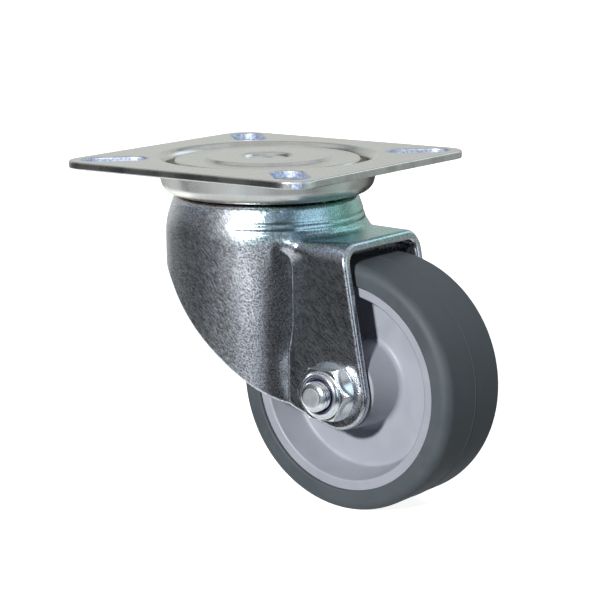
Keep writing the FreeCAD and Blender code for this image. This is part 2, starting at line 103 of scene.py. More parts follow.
# The crease between shell and leg is sharp low down and wide at its top.
CREASE_TIGHT, CREASE_WIDE, CREASE_LOW, CREASE_HIGH = 0.25, 2.9, -18.0, -14.5
FLANK, LEG_HOLLOW = 0.45, 0.9
NECK_ROLLS, ROLL_DEPTH, ROLL_HALF = (-11.4, -12.7), 0.13, 0.35
# Press marks at the crease's top: middle, spread, and depth (below 0 stands proud).
PRESS_MARKS = (
    ((17.6, 13.8, -18.6), (1.9, 2.0, 2.6), 0.50),
    ((13.2, 16.4, -17.0), (1.3, 1.6, 2.4), -0.22),
)
REAR_EDGE, REAR_LIMIT, REAR_CORNER = -20.0, -22.6, 5.6
SWEEP_START, SWEEP_FINISH, SWEEP_RADIUS = (-13.9, -22.6), (15.5, -47.95), 150.0
# The leg's end is round, between two straight sides that face these ways, in degrees from +X.
LEG_END, LEG_END_RADIUS, LEG_END_SIDES = (26.3, -44.0), 6.9, (253.2, 10.2)
AXLE_HOLE = 3.05
FORK_EDGE_ROUND = 0.75

WHEEL_RADIUS = 25.0
TYRE_HALF, TYRE_SHOULDER = 9.7, 3.5
MOULD_LINE_HALF, MOULD_LINE_RISE = 0.22, 0.07
RIM_RADIUS, RIM_LIP, RIM_HALF = 20.8, 18.8, 9.0
RIB_RADIUS, RIB_HALF, RIB_SLOPE = 21.8, 2.5, 0.6
WEB_HALF, WEB_OUTER = 2.0, 17.4
BOSS_BASE, BOSS_END, BOSS_HALF = 8.9, 8.2, 10.8
BORE_RADIUS = 4.07
BOLT_RADIUS, BOLT_TIP, BOLT_TIP_RADIUS = 2.95, 20.0, 2.1
BOLT_HEAD, HEAD_CHAMFER = 4.0, 4.7
THREAD_PITCH, THREAD_DEPTH, THREAD_START, THREAD_RUNOUT = 1.0, 0.30, 9.0, 1.5
HEX_APOTHEM = 5.0
NUT_HEX, NUT_HEIGHT, NUT_COLLAR, NUT_MOUTH, NUT_CHAMFER = 3.4, 4.3, 4.6, 3.6, 5.3
NUT_BORE, NYLON_RADIUS, NYLON_BORE, NYLON_HEIGHT = 3.02, 4.1, 3.0, 1.4
# These two are measured from the leg's face.
NYLON_MIDDLE, MOUTH_FLOOR = 3.1, 3.6
# The chamfers on the hexagons lie 30 degrees off the face: the tangent and the cosine.
CHAMFER_SLOPE, CHAMFER_SCALE = 0.577, 0.866

# ---- mesh tools -------------------------------------------------------------------------


def put_piece(name, points, faces, normals, material, body, slot, node):
    """A smooth-shaded piece from points in millimetres, standing for one CAD node."""
    mesh = bpy.data.meshes.new(name)
    mesh.from_pydata((points * MM).tolist(), [], faces)
    mesh.update()
    mesh.polygons.foreach_set("use_smooth", [True] * len(mesh.polygons))
    mesh.normals_split_custom_set_from_vertices(normals.tolist())
    mesh.materials.append(material)
    piece = bpy.data.objects.new(name, mesh)
    bpy.context.scene.collection.objects.link(piece)
    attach(piece, body)
    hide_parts(node)
    return piece


def soften(corners, steps=6):
    """A closed outline of (along, out, radius) corners with each corner rounded.
    Returns its points and their outward normals, anticlockwise in (along, out)."""
    spots = [np.array(corner[:2], float) for corner in corners]
    count = len(spots)
    area = sum(spots[i - 1][0] * spots[i][1] - spots[i][0] * spots[i - 1][1] for i in range(count))
    order = range(count) if area > 0 else range(count - 1, -1, -1)
    spots, radii = [spots[i] for i in order], [corners[i][2] for i in order]
    points, normals = [], []
    for i in range(count):
        here, before, after = spots[i], spots[i - 1], spots[(i + 1) % count]
        reach_in, reach_out = np.linalg.norm(here - before), np.linalg.norm(after - here)
        way_in, way_out = (here - before) / reach_in, (after - here) / reach_out
        turn = math.atan2(way_in[0] * way_out[1] - way_in[1] * way_out[0], way_in @ way_out)
        cut = min(radii[i] * abs(math.tan(turn / 2)), reach_in * 0.49, reach_out * 0.49)
        radius = cut / max(abs(math.tan(turn / 2)), TINY)
        start = here - way_in * cut
        side = 1 if turn > 0 else -1
        centre = start + side * radius * np.array([-way_in[1], way_in[0]])
        for step in range(steps + 1):
            angle = turn * step / steps
            cos, sin = math.cos(angle), math.sin(angle)
            way = np.array([way_in[0] * cos - way_in[1] * sin, way_in[0] * sin + way_in[1] * cos])
            outward = np.array([way[1], -way[0]])
            points.append(centre + side * radius * outward)
            normals.append(outward)
    return np.array(points), np.array(normals)


def lathe(corners, axis, centre, segments=224, steps=6):
    """Turn an outline of (along, out, radius) corners about the Y or Z axis through centre."""
    outline, slopes = soften(corners, steps)
    turns = np.arange(segments) * (2 * math.pi / segments)
    cos, sin = np.cos(turns)[:, None], np.sin(turns)[:, None]
    along, out = outline[:, 0], np.maximum(outline[:, 1], 0)

    def placed(length, reach):
        flat = np.broadcast_to(length, (segments, len(length)))
        if axis == "Y":
            parts = (reach * cos, flat, reach * sin)
        else:
            parts = (reach * cos, reach * sin, flat)
        return np.stack(parts, -1).reshape(-1, 3)

    points = placed(along, out) + np.array(centre)
    normals = placed(slopes[:, 0], slopes[:, 1])
    ring = len(outline)
    faces = []
    for segment in range(segments):
        here, there = segment * ring, (segment + 1) % segments * ring
        for i in range(ring):
            j = (i + 1) % ring
            if out[i] < TINY and out[j] < TINY:
                continue
            faces.append((here + i, here + j, there + j, there + i))
    return weld(points, normals, faces)


def weld(points, normals, faces):
    """Merge points that lie together, drop faces that have shrunk to a line, and wind the
    rest the way their normals say."""
    keys = np.round(points / SAME_PLACE).astype(np.int64)
    _, first, same = np.unique(keys, axis=0, return_index=True, return_inverse=True)
    same = same.reshape(-1)
    sums = np.zeros((len(first), 3))
    np.add.at(sums, same, normals)
    lengths = np.linalg.norm(sums, axis=1, keepdims=True)
    points, normals = points[first], sums / np.maximum(lengths, TINY)
    kept = []
    for face in faces:
        corners = [int(same[i]) for i in face]
        corners = [c for i, c in enumerate(corners) if c != corners[i - 1]]
        if len(corners) < 3:
            continue
        a, b, c = points[corners[0]], points[corners[1]], points[corners[2]]
        outward = normals[corners].sum(axis=0)
        kept.append(tuple(corners if np.cross(b - a, c - a) @ outward > 0 else corners[::-1]))
    return points, kept, normals


def slope(field, spots, reach=0.01):
    """The field's gradient at each spot."""
    parts = []
    for axis in range(3):
        ahead, behind = spots.copy(), spots.copy()
        ahead[:, axis] += reach
        behind[:, axis] -= reach
        parts.append((field(*ahead.T) - field(*behind.T)) / (2 * reach))
    return np.stack(parts, axis=-1)


def settle(field, spots, rounds, flattest=0.05, longest_move=0.3):
    """Move each spot along the field's slope until it lies on the surface."""
    for _ in range(rounds):
        way = slope(field, spots)
        size = np.maximum((way * way).sum(axis=1), flattest)
        move = (field(*spots.T) / size)[:, None] * way
        length = np.linalg.norm(move, axis=1, keepdims=True)
        spots = spots - move * np.minimum(1, longest_move / np.maximum(length, TINY))
    return spots


def skin(field, low, high, step):
    """A mesh of the surface where field(x, y, z) is zero; the field is negative inside.
    One point for each cell of a grid that the surface crosses, then evened out."""
    axes = [np.arange(a, b + step, step) for a, b in zip(low, high)]
    grid = np.meshgrid(*axes, indexing="ij", sparse=True)
    inside = np.broadcast_to(field(*grid), [len(a) for a in axes]) < 0
    corners = sum(inside[i:len(axes[0]) - 1 + i, j:len(axes[1]) - 1 + j, k:len(axes[2]) - 1 + k]
                  .astype(np.int8) for i in (0, 1) for j in (0, 1) for k in (0, 1))
    crossed = (corners > 0) & (corners < 8)
    number = np.full(crossed.shape, -1, np.int32)
    number[crossed] = np.arange(crossed.sum())
    cells = np.argwhere(crossed)
    spots = np.array(low) + (cells + 0.5) * step
    quads = []
    for axis in range(3):
        changed = np.diff(inside.astype(np.int8), axis=axis)
        places = np.argwhere(changed)
        signs = changed[tuple(places.T)]
        one, two = [a for a in range(3) if a != axis]
        rings = []
        for back_one, back_two in ((1, 1), (0, 1), (0, 0), (1, 0)):
            cell = places.copy()
            cell[:, one] -= back_one
            cell[:, two] -= back_two
            rings.append(number[tuple(cell.T)])
        quad = np.stack(rings, axis=-1)
        flip = (signs > 0) != (axis == 1)
        quad[flip] = quad[flip][:, ::-1]
        quads.append(quad)
    quads = np.concatenate(quads)
    spots = settle(field, spots, 4)
    links = np.concatenate([quads[:, [i, (i + 1) % 4]] for i in range(4)])
    for _ in range(3):
        total, tally = np.zeros_like(spots), np.zeros(len(spots))
        for a, b in ((0, 1), (1, 0)):
            np.add.at(total, links[:, a], spots[links[:, b]])
            np.add.at(tally, links[:, a], 1)
        spots = settle(field, 0.5 * spots + 0.5 * total / tally[:, None], 1)
    spots = settle(field, spots, 2)
    normals = slope(field, spots)
    normals /= np.maximum(np.linalg.norm(normals, axis=1, keepdims=True), TINY)
    return spots, [tuple(q) for q in quads.tolist()], normals


# ---- fields: distances in millimetres, negative inside ----------------------------------

# The last argument of both(), either(), less() and hexagon() is a rounding radius.


def both(a, b, radius):
    """What is inside a and b, with the edge where they meet rounded."""
    out = np.hypot(np.maximum(radius + a, 0), np.maximum(radius + b, 0))
    return np.minimum(-radius, np.maximum(a, b)) + out


def either(a, b, radius):
    """What is inside a or b, with the corner where they meet filled to a radius."""
    return -both(-a, -b, radius)


def less(a, b, radius):
    """a with b taken out, with the edge rounded."""
    return both(a, -b, radius)


def soft_either(a, b, width):
    """What is inside a or b, blended where the two are within width of each other."""
    near = np.maximum(width - np.abs(a - b), 0)
    return np.minimum(a, b) - near * near / (4 * width)


def soft_both(a, b, width):
    """What is inside a and b, blended where the two are within width of each other."""
    return -soft_either(-a, -b, width)


def rise(value, low, high):
    """0 below low, 1 above high, and a smooth rise between."""
    part = np.clip((value - low) / (high - low), 0, 1)
    return part * part * (3 - 2 * part)


def fall(value, low, high):
    """1 below low, 0 above high, and a smooth fall between."""
    return rise(-value, -high, -low)


def hexagon(x, z, apothem, corner):
    """A hexagon with corners towards +X and -X."""
    sides = [np.abs(x * math.sin(math.radians(a)) + z * math.cos(math.radians(a))) - apothem
             for a in (0, 60, 120)]
    return both(both(sides[0], sides[1], corner), sides[2], corner)


def ring(reach, z, circle, height, radius):
    """A ring of round section about the swivel axis."""
    return np.hypot(reach - circle, z - height) - radius


# ---- materials --------------------------------------------------------------------------


class Finish:
    """One procedural material. Its coordinates are millimetres in the piece's own frame."""

    def __init__(self, name, metallic=0.0, specular=0.5):
        self.material = bpy.data.materials.new(name)
        self.material.use_nodes = True
        self.tree = self.material.node_tree
        self.shader = self.tree.nodes["Principled BSDF"]
        self.shader.inputs["Metallic"].default_value = metallic
        self.shader.inputs["Specular IOR Level"].default_value = specular
        place = self.tree.nodes.new("ShaderNodeTexCoord")
        self.place = self.vector("SCALE", place.outputs["Object"], scale=1 / MM)

    def connect(self, value, socket):
        """Feed a socket from a node's output, or set it to a fixed value."""
        if isinstance(value, bpy.types.NodeSocket):
            self.tree.links.new(value, socket)
        else:
            socket.default_value = value

    def vector(self, operation, first, second=None, scale=None):
        node = self.tree.nodes.new("ShaderNodeVectorMath")
        node.operation = operation
        self.connect(first, node.inputs[0])
        if second is not None:
            self.connect(second, node.inputs[1])
        if scale is not None:
            self.connect(scale, node.inputs["Scale"])
        return node.outputs["Value" if operation in ("LENGTH", "DOT_PRODUCT") else "Vector"]

    def number(self, operation, first, second):
        node = self.tree.nodes.new("ShaderNodeMath")
        node.operation = operation
        self.connect(first, node.inputs[0])
        self.connect(second, node.inputs[1])
        return node.outputs["Value"]

    def product(self, first, *others):
        for other in others:
            first = self.number("MULTIPLY", first, other)
        return first

    def along(self, way):
        """The coordinate along a direction."""
        return self.vector("DOT_PRODUCT", self.place, way)

    def stretched(self, turn, lengths):
        """Coordinates turned by degrees about X, Y and Z, in units of these lengths."""
        node = self.tree.nodes.new("ShaderNodeMapping")
        node.vector_type = "TEXTURE"
        node.inputs["Rotation"].default_value = [math.radians(a) for a in turn]
        node.inputs["Scale"].default_value = lengths
        self.connect(self.place, node.inputs["Vector"])
        return node.outputs["Vector"]

    def noise(self, scale, detail=2.0, rough=0.5, place=None, twist=0.0):
        node = self.tree.nodes.new("ShaderNodeTexNoise")
        self.connect(place or self.place, node.inputs["Vector"])
        node.inputs["Scale"].default_value = scale
        node.inputs["Detail"].default_value = detail
        node.inputs["Roughness"].default_value = rough
        node.inputs["Distortion"].default_value = twist
        return node.outputs["Fac"]

    def spread(self, value, low, high, to_low=0.0, to_high=1.0):
        """Map low..high smoothly to to_low..to_high, level beyond."""
        node = self.tree.nodes.new("ShaderNodeMapRange")
        node.interpolation_type = "SMOOTHSTEP"
        self.connect(value, node.inputs["Value"])
        for word, number in (("From Min", low), ("From Max", high), ("To Min", to_low),
                             ("To Max", to_high)):
            node.inputs[word].default_value = number
        return node.outputs["Result"]

    def blend(self, factor, first, second):
        node = self.tree.nodes.new("ShaderNodeMix")
        node.data_type = "RGBA"
        self.connect(factor, node.inputs["Factor"])
        for value, name in ((first, "A"), (second, "B")):
            socket = next(s for s in node.inputs if s.name == name and s.type == "RGBA")
            self.connect(value if isinstance(value, bpy.types.NodeSocket) else (*value, 1), socket)
        return next(s for s in node.outputs if s.type == "RGBA")

    def bump(self, height, depth, normal=None):
        """Depth is in millimetres."""
        node = self.tree.nodes.new("ShaderNodeBump")
        node.inputs["Distance"].default_value = depth * MM
        node.inputs["Strength"].default_value = 1.0
        self.connect(height, node.inputs["Height"])
        if normal is not None:
            self.connect(normal, node.inputs["Normal"])
        return node.outputs["Normal"]

    def finish(self, colour, roughness, normal=None):
        self.connect(colour, self.shader.inputs["Base Color"])
        self.connect(roughness, self.shader.inputs["Roughness"])
        if normal is not None:
            self.connect(normal, self.shader.inputs["Normal"])
        return self.material


def bright_zinc():
    """Pressed sheet with bright zinc: fine sparkling grain and drawn scratches, smoother
    on the flat legs, with a painted blue-green reflection round the neck and the bridge."""
    look = Finish("bright_zinc", metallic=1.0)
    clouds = look.noise(0.10, detail=3.0, twist=0.6)
    grain = look.noise(4.6, detail=2.0, rough=0.7)
    scratches = look.stretched((0, 42, 0), (1.6, 0.17, 0.17))
    drawn = look.noise(1.0, detail=2.0, rough=0.6, place=scratches)
    dust = look.spread(look.noise(2.3, detail=4.0, rough=0.75), 0.66, 0.74)
    shade = look.spread(look.number("ADD", grain, look.product(drawn, 0.9)), 0.80, 1.10)

    # How far along the fork, with a wandering edge.
    wander = look.product(look.noise(0.22, detail=2.0), 4.0)
    along = look.number("ADD", look.along((1, 0, 0)), look.number("SUBTRACT", wander, 2.0))

    dark = look.blend(look.spread(clouds, 0.35, 0.65), (0.30, 0.31, 0.335), (0.38, 0.39, 0.41))
    patchy = look.product(shade, look.spread(along, 11.0, 17.0, 1.0, 0.6))
    colour = look.blend(patchy, dark, (0.90, 0.93, 1.0))
    colour = look.blend(dust, colour, (0.90, 0.92, 0.96))

    # Painted reflection: the neck and the bridge are tinted blue, and their foremost middle part
    # green, as if they reflected bluish and green surroundings.
    ahead = look.spread(look.along((1, 0, 0)), 2.0, 14.0)
    above = look.spread(look.along((0, 0, 1)), -16.5, -13.5, 0.0, 0.75)
    painted_blue_reflection = look.vector("MULTIPLY", colour, (0.62, 0.93, 0.96))
    colour = look.blend(look.product(ahead, above), colour, painted_blue_reflection)
    aside = look.along((0, 1, 0))
    middle = look.product(look.spread(aside, -6.5, -2.5), look.spread(aside, 8.0, 13.0, 1.0, 0.0))
    painted_green_reflection = look.vector("MULTIPLY", colour, (0.68, 1.0, 0.78))
    colour = look.blend(look.product(middle, ahead, above), colour, painted_green_reflection)

    smoother = look.number("ADD", look.spread(along, 6.5, 13.0, 1.0, 0.70),
                           look.spread(along, 15.0, 17.5, 0.0, 0.13))
    rough = look.product(look.spread(shade, 0.0, 1.0, 0.28, 0.36), smoother)
    return look.finish(colour, rough, look.bump(drawn, 0.011, look.bump(grain, 0.012)))


def satin_zinc():
    """The plate's duller zinc: even, mottled, faintly warm, with a painted brown shade down in the
    dish.
    The slots' sheared walls are torn and matt, and their blue is a painted reflection."""
    look = Finish("satin_zinc", metallic=1.0)
    clouds = look.noise(0.22, detail=4.0, twist=0.4)
    grain = look.noise(5.0, detail=2.0, rough=0.6)
    colour = look.blend(look.spread(clouds, 0.3, 0.7), (0.60, 0.60, 0.585), (0.70, 0.70, 0.685))
    rough = look.number("ADD", look.spread(clouds, 0.3, 0.7, 0.21, 0.29),
                        look.spread(grain, 0.3, 0.7, 0.0, 0.06))
    depth = look.along((0, 0, -1))
    flat = look.vector("MULTIPLY", look.place, (1, 1, 0))
    reach = look.vector("LENGTH", flat)

    # Painted shade: warm brown on the dish's inner wall, more than 0.7 mm below the top face.
    painted_dish_shade = look.product(look.spread(depth, 0.7, 1.3, 0.0, 0.7),
                        look.spread(reach, 20.9, 21.2, 1.0, 0.0))
    colour = look.blend(painted_dish_shade, colour, (0.62, 0.55, 0.46))

    # Sheared walls: below the top face, inside the plate's outer edge and outside the dish.
    # They get a torn, matt finish in a blue that is a painted reflection.
    sheared = look.spread(depth, 0.12, 0.22)
    size = look.vector("ABSOLUTE", flat)
    for way in ((1, 0, 0), (0, 1, 0)):
        distance = look.vector("DOT_PRODUCT", size, way)
        sheared = look.product(sheared, look.spread(distance, 28.9, 29.1, 1.0, 0.0))
    sheared = look.product(sheared, look.spread(reach, 23.4, 23.8))
    torn_with_painted_blue = look.blend(look.spread(look.noise(1.9, detail=3.0, rough=0.7), 0.38, 0.62),
                      (0.34, 0.42, 0.60), (0.72, 0.78, 0.90))
    colour = look.blend(sheared, colour, torn_with_painted_blue)
    rough = look.number("ADD", rough, look.product(sheared, 0.30))
    return look.finish(colour, rough, look.bump(grain, 0.006))


def fastener_zinc(name, matt_beyond=99.0):
    """Blue-white zinc on the bolt, nut and rivet. Further than matt_beyond towards -Y there
    is a sawn, matt end."""
    look = Finish(name, metallic=1.0)
    clouds = look.noise(0.8, detail=3.0)
    grain = look.noise(6.0, detail=3.0, rough=0.6)
    colour = look.blend(look.spread(clouds, 0.35, 0.65), (0.66, 0.72, 0.76), (0.80, 0.82, 0.84))
    rough = look.spread(grain, 0.3, 0.7, 0.16, 0.30)
    sawn = look.spread(look.along((0, -1, 0)), matt_beyond, matt_beyond + 0.02)
    rough = look.number("ADD", rough, look.product(sawn, 0.26))
    return look.finish(colour, rough, look.bump(grain, 0.012))


def plain_steel(name, rough_low, rough_high, shade):
    """Bare drawn or polished steel, for the parts inside the swivel and the axle."""
    look = Finish(name, metallic=1.0)
    grain = look.noise(4.0, detail=3.0)
    dark, light = (shade, shade, shade * 1.02), (shade * 1.2, shade * 1.2, shade * 1.2)
    colour = look.blend(grain, dark, light)
    return look.finish(colour, look.spread(grain, 0.3, 0.7, rough_low, rough_high))


def hub_plastic():
    """Moulded plastic: semi-matt, faint flow clouds and handling marks."""
    look = Finish("hub_plastic", specular=0.42)
    clouds = look.noise(0.12, detail=3.0, twist=0.8)
    scuffs = look.spread(look.noise(0.9, detail=5.0, rough=0.7), 0.60, 0.78, 0.0, 0.35)
    grain = look.noise(7.0, detail=2.0)
    colour = look.blend(look.spread(clouds, 0.35, 0.65), (0.365, 0.385, 0.440), (0.395, 0.415, 0.470))
    colour = look.blend(scuffs, colour, (0.47, 0.47, 0.53))
    rough = look.spread(clouds, 0.3, 0.7, 0.36, 0.46)
    return look.finish(colour, rough, look.bump(grain, 0.004))


def tyre_rubber():
    """Grey thermoplastic rubber: satin, cloudy, with light scuffs on the tread."""
    look = Finish("tyre_rubber", specular=0.45)
    clouds = look.noise(0.18, detail=4.0, twist=0.5)
    scuffs = look.spread(look.noise(1.3, detail=6.0, rough=0.75), 0.62, 0.80, 0.0, 0.4)
    grain = look.noise(5.0, detail=3.0, rough=0.6)
    colour = look.blend(look.spread(clouds, 0.3, 0.7), (0.066, 0.080, 0.092), (0.084, 0.100, 0.112))
    colour = look.blend(scuffs, colour, (0.13, 0.145, 0.155))
    rough = look.spread(clouds, 0.3, 0.7, 0.56, 0.66)
    return look.finish(colour, rough, look.bump(grain, 0.010))


def nylon():
    """The nut's ring: violet-blue moulded nylon."""
    look = Finish("nylon", specular=0.5)
    grain = look.noise(3.0, detail=2.0)
    colour = look.blend(grain, (0.05, 0.045, 0.11), (0.09, 0.08, 0.18))
    return look.finish(colour, 0.35, look.bump(grain, 0.01))


BRIGHT_ZINC, SATIN_ZINC, FASTENER = bright_zinc(), satin_zinc(), fastener_zinc("fastener_zinc")
BOLT_ZINC = fastener_zinc("bolt_zinc", matt_beyond=BOLT_TIP - 0.06)
DRAWN_STEEL = plain_steel("drawn_steel", 0.28, 0.40, 0.42)
BALL_STEEL = plain_steel("ball_steel", 0.06, 0.14, 0.55)
HUB_PLASTIC, TYRE_RUBBER, NYLON = hub_plastic(), tyre_rubber(), nylon()

# ---- top plate --------------------------------------------------------------------------


def plate_field(x, y, z):
    """The square sheet with the dish pressed down from it, four slots and the centre hole."""
    reach = np.hypot(x, y)
    bowl = both(reach - DISH_WALL, DISH_FLOOR - z, DISH_CORNER)
    above = either(-z, bowl, DISH_LIP)
    crown = ring(reach, z, LOWER_BALL_CIRCLE, LOWER_BALL_HEIGHT, LOWER_RACE + PLATE_SHEET)
    above = both(above, -crown, 0.3)
    sheet = np.abs(above - PLATE_SHEET / 2) - PLATE_SHEET / 2
    inner = PLATE_HALF - PLATE_CORNER
    across, along = np.abs(x) - inner, np.abs(y) - inner
    outline = (np.hypot(np.maximum(across, 0), np.maximum(along, 0))
               + np.minimum(np.maximum(across, along), 0) - PLATE_CORNER)
    taper = (reach - DISH_WALL - PLATE_SHEET) - (z + PLATE_SHEET) * math.tan(DISH_TAPER)
    under = DISH_UNDER - DISH_STEP * fall(reach, DISH_STEP_INNER, DISH_STEP_OUTER) - z
    outside = both(taper * math.cos(DISH_TAPER), under, DISH_FOOT_ROUND)
    below_sheet = z < -PLATE_SHEET - 0.2
    sheet = np.where(below_sheet, np.maximum(sheet, outside), sheet)
    solid = both(sheet, outline, PLATE_EDGE_ROUND)
    solid = less(solid, reach - DISH_HOLE, 0.2)
    diagonal = math.sqrt(0.5)
    out, side = (np.abs(x) + np.abs(y)) * diagonal, (np.abs(y) - np.abs(x)) * diagonal
    beyond = np.maximum(np.abs(out - SLOT_CIRCLE) - (SLOT_LENGTH / 2 - SLOT_RADIUS), 0)
    return less(solid, np.hypot(beyond, side) - SLOT_RADIUS, 0.3)


def make_plate():
    half = PLATE_HALF + 0.5
    lowest, highest = -9.2, 0.6
    shape = skin(plate_field, (-half, -half, lowest), (half, half, highest), step=0.27)
    put_piece("plate_pressing", *shape, SATIN_ZINC, "plate", "plate_zinc", "top_plate")


# ---- swivel head ------------------------------------------------------------------------


def make_cap():
    """The disc in the dish: a dimple for the rivet's head, a flat, a step down and a brim."""
    top, brim, seat = CAP_TOP, CAP_BRIM, PIN_SEAT
    inner, outer = CAP_STEP_INNER, CAP_STEP_OUTER
    upper = [
        (seat, PIN_HOLE, 0.1), (seat, 4.0, 0.5), (top, 5.2, 0.7), (top, inner, 0.4),
        (brim, outer, 0.4), (brim, CAP_RADIUS, 0.45),
    ]
    lower = [
        (brim, CAP_RADIUS, 0.2), (brim, outer - 0.4, 0.4), (top, inner - 0.4, 0.4),
        (top, 5.9, 0.6), (seat, 4.8, 0.5), (seat, PIN_HOLE, 0.1),
    ]
    outline = upper + [(height - CAP_SHEET, reach, soft) for height, reach, soft in lower]
    put_piece("cap_disc", *lathe(outline, "Z", (0, 0, 0)), SATIN_ZINC, "swivel", "plate_zinc",
              "race_cap")


def make_kingpin():
    """The rivet: a flat head with a small well in its middle, and a rounded lower end."""
    under = HEAD_TOP - FORK_SHEET
    outline = [
        (PIN_TOP - 0.12, 0, 0), (PIN_TOP - 0.12, 1.3, 0.2), (PIN_TOP, 1.7, 0.3),
        (PIN_TOP, 4.1, 0.5), (PIN_TOP - 0.5, 4.48, 0.4), (PIN_SEAT, 3.85, 0.1),
        (PIN_SEAT, PIN_RADIUS, 0.1), (under, PIN_RADIUS, 0.1), (under, 5.0, 0.1),
        (under - 1.4, 4.3, 0.8), (under - 1.8, 3.4, 0.8), (under - 1.8, 0, 0),
    ]
    put_piece("kingpin_rivet", *lathe(outline, "Z", (0, 0, 0), segments=96), FASTENER,
              "swivel", "fastener_zinc", "kingpin")


# ---- fork -------------------------------------------------------------------------------


def dent(x, y, z, spot, spread, depth):
    """A smooth hollow, the same on both legs."""
    away = ((x - spot[0]) / spread[0]) ** 2 + ((np.abs(y) - spot[1]) / spread[1]) ** 2
    return depth * np.exp(-(away + ((z - spot[2]) / spread[2]) ** 2))


def shell_form(x, y, z, reach):
    """The round shell, which narrows a little at its neck, up to the rim of the head."""
    lean = math.atan2(SHELL_RADIUS - NECK_RADIUS, NECK_DEPTH + HEAD_TOP - NECK_ROUND)
    cone = (reach - SHELL_RADIUS) * math.cos(lean) + (z + NECK_DEPTH) * math.sin(lean)
    top = HEAD_TOP + RIM_RISE * rise(np.hypot(x, y), RIM_INNER, RIM_OUTER)
    return both(soft_both(cone, reach - SHELL_RADIUS, 0.8), z - top, NECK_ROUND)


def bridge_form(x, y, z):
    """The bridge over the wheel with its two legs. Its shoulders widen towards the front."""
    forward = np.clip((x - BRIDGE_START) / (BRIDGE_END - BRIDGE_START), 0, 1)
    bend = SHOULDER_TIGHT + (SHOULDER_WIDE - SHOULDER_TIGHT) * forward
    hollow = LEG_HOLLOW * fall(x, 14.0, 20.0) * rise(z, -38.0, -30.0) * fall(z, -21.0, -15.5)
    side, roof = np.abs(y) - LEG_HALF + hollow + bend, z - ROOF + bend
    bridge = (np.hypot(np.maximum(side, 0), np.maximum(roof, 0))
              + np.minimum(np.maximum(side, roof), 0) - bend)
    return np.maximum(bridge, BRIDGE_START - x)


def fork_form(x, y, z):
    """The fork's outside as a solid: the shell and the bridge, with the crease where they
    meet, two rolls round the neck, and press marks."""
    reach = np.hypot(x + SHELL_SETBACK, y)
    reach = reach - FLANK * rise(x, 2.0, 10.8) * fall(x, 11.2, 16.8) * fall(z, -33.0, -16.0)
    wide = rise(z, CREASE_LOW, CREASE_HIGH) * (1 - 0.6 * rise(x, 15.5, 18.5))
    width = CREASE_TIGHT + (CREASE_WIDE - CREASE_TIGHT) * wide
    form = soft_either(shell_form(x, y, z, reach), bridge_form(x, y, z), width)
    on_shell = rise(-np.abs(reach - SHELL_RADIUS), -2.4, -1.0)
    for height in NECK_ROLLS:
        roll = np.exp(-((z - height) / ROLL_HALF) ** 2) * rise(x, 4.0, 9.0)
        form = form + ROLL_DEPTH * roll * on_shell
    for spot, spread, depth in PRESS_MARKS:
        form = form + dent(x, y, z, spot, spread, depth)
    return form


def circle_centre(start, finish, radius):
    """Centre of the circle through two points that bulges right on the way to the second."""
    middle = ((start[0] + finish[0]) / 2, (start[1] + finish[1]) / 2)
    chord = math.dist(start, finish)
    back = math.sqrt(radius ** 2 - chord ** 2 / 4)
    way = ((finish[0] - start[0]) / chord, (finish[1] - start[1]) / chord)
    return middle[0] - way[1] * back, middle[1] + way[0] * back


SWEEP_CENTRE = circle_centre(SWEEP_START, SWEEP_FINISH, SWEEP_RADIUS)


def fork_side(x, z):
    """The fork's outline seen from the side: the shell's level rear edge, the long sweep
    down to the leg's end, and the leg's straight front."""
    swept = np.hypot(x - SWEEP_CENTRE[0], z - SWEEP_CENTRE[1]) - SWEEP_RADIUS
    rear = np.maximum(either(REAR_EDGE - z, swept, REAR_CORNER), REAR_LIMIT - x)
    across, down = x - LEG_END[0], z - LEG_END[1]
    (low_x, low_z), (front_x, front_z) = [
        (math.cos(math.radians(a)), math.sin(math.radians(a))) for a in LEG_END_SIDES]
    straight = np.maximum(across * low_x + down * low_z, across * front_x + down * front_z)
    at_corner = (low_x * down - low_z * across > 0) & (across * front_z - down * front_x > 0)
    ends = np.where(at_corner, np.hypot(across, down), straight) - LEG_END_RADIUS
    return soft_both(ends, rear, 0.8)


def fork_field(x, y, z):
    """The fork's sheet, with the lower balls' race, the rivet's hole and the axle's holes."""
    form = fork_form(x, y, z)
    sheet = np.abs(form + FORK_SHEET / 2) - FORK_SHEET / 2
    reach = np.hypot(x, y)
    bead = ring(reach, z, LOWER_BALL_CIRCLE, LOWER_BALL_HEIGHT, LOWER_RACE + FORK_SHEET)
    bead = np.maximum(bead, z - (HEAD_TOP - FORK_SHEET / 2))
    sheet = either(sheet, bead, 0.5)
    sheet = less(sheet, ring(reach, z, LOWER_BALL_CIRCLE, LOWER_BALL_HEIGHT, LOWER_RACE), 0.2)
    sheet = less(sheet, reach - PIN_HOLE, 0.2)
    sheet = less(sheet, np.hypot(x - AXLE.x, z - AXLE.z) - AXLE_HOLE, 0.3)
    return both(sheet, fork_side(x, z), FORK_EDGE_ROUND)


def make_fork():
    low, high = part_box("fork")
    spare = 0.6
    low, high = [v / MM - spare for v in low], [v / MM + spare for v in high]
    high[2] += RIM_RISE
    shape = skin(fork_field, low, high, step=0.29)
    put_piece("fork_pressing", *shape, BRIGHT_ZINC, "swivel", "fork_zinc", "fork")


# ---- wheel ------------------------------------------------------------------------------


def mirrored(half_outline):
    """The outline with its mirror on the other side of the wheel."""
    return half_outline + [(-a, r, soft) for a, r, soft in reversed(half_outline)]


